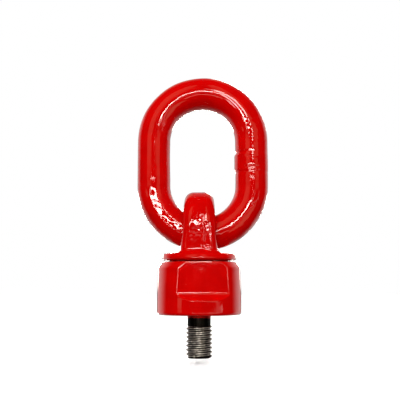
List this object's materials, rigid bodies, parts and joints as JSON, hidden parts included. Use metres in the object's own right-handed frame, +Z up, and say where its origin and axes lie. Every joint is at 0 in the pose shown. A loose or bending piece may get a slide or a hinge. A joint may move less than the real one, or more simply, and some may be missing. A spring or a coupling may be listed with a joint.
{
  "type": "swivel hoist ring",
  "caption": "Red enamelled swivel hoist ring: an oval lifting link in a forged eye that turns on a ball bearing in a housing with spanner flats and an M8 stud.",
  "frame": {"origin": "centre of the housing's seat face, the face that the stud is screwed down against", "axes": "+Z up along the stud and swivel axis to the link; the link stands in the XZ plane and pivots about X; -Y is the front"},
  "size_m": [0.0403, 0.0254, 0.0861],
  "materials": {
    "red_enamel": "thick glossy red enamel over forged and machined steel",
    "dark_steel": "blackened and oiled steel",
    "bearing_steel": "ground bearing steel",
    "ball_steel": "polished bearing balls",
    "bronze": "machined bronze",
    "seal_rubber": "matt black rubber"
  },
  "bodies": {
    "link": {"oval_link": "red_enamel"},
    "eye": {"swivel_eye": "red_enamel", "lower_race": "bearing_steel", "retaining_nut": "dark_steel", "nut_pin": "bearing_steel"},
    "ball_set": {"ball_cage": "bronze", "ball_01": "ball_steel", "ball_02": "ball_steel", "ball_03": "ball_steel", "ball_04": "ball_steel", "ball_05": "ball_steel", "ball_06": "ball_steel", "ball_07": "ball_steel", "ball_08": "ball_steel", "ball_09": "ball_steel", "ball_10": "ball_steel", "ball_11": "ball_steel", "ball_12": "ball_steel"},
    "base": {"housing": "red_enamel", "threaded_stud": "dark_steel", "stud_lock_pin": "red_enamel", "journal_bush": "bronze", "upper_race": "bearing_steel", "dust_seal": "seal_rubber"}
  },
  "joints": [
    {"name": "link_pivot", "type": "hinge", "parent": "link", "child": "eye", "pos_m": [0, 0, 0.02429], "axis": [1, 0, 0], "range_deg": [-100, 100]},
    {"name": "swivel", "type": "hinge", "parent": "eye", "child": "base", "pos_m": [0, 0, 0], "axis": [0, 0, 1], "continuous": true},
    {"name": "ball_orbit", "type": "hinge", "parent": "eye", "child": "ball_set", "pos_m": [0, 0, 0.0109], "axis": [0, 0, 1], "continuous": true}
  ],
  "couplings": [
    {"joint": "ball_orbit", "follows": "swivel", "ratio": 0.5}
  ]
}
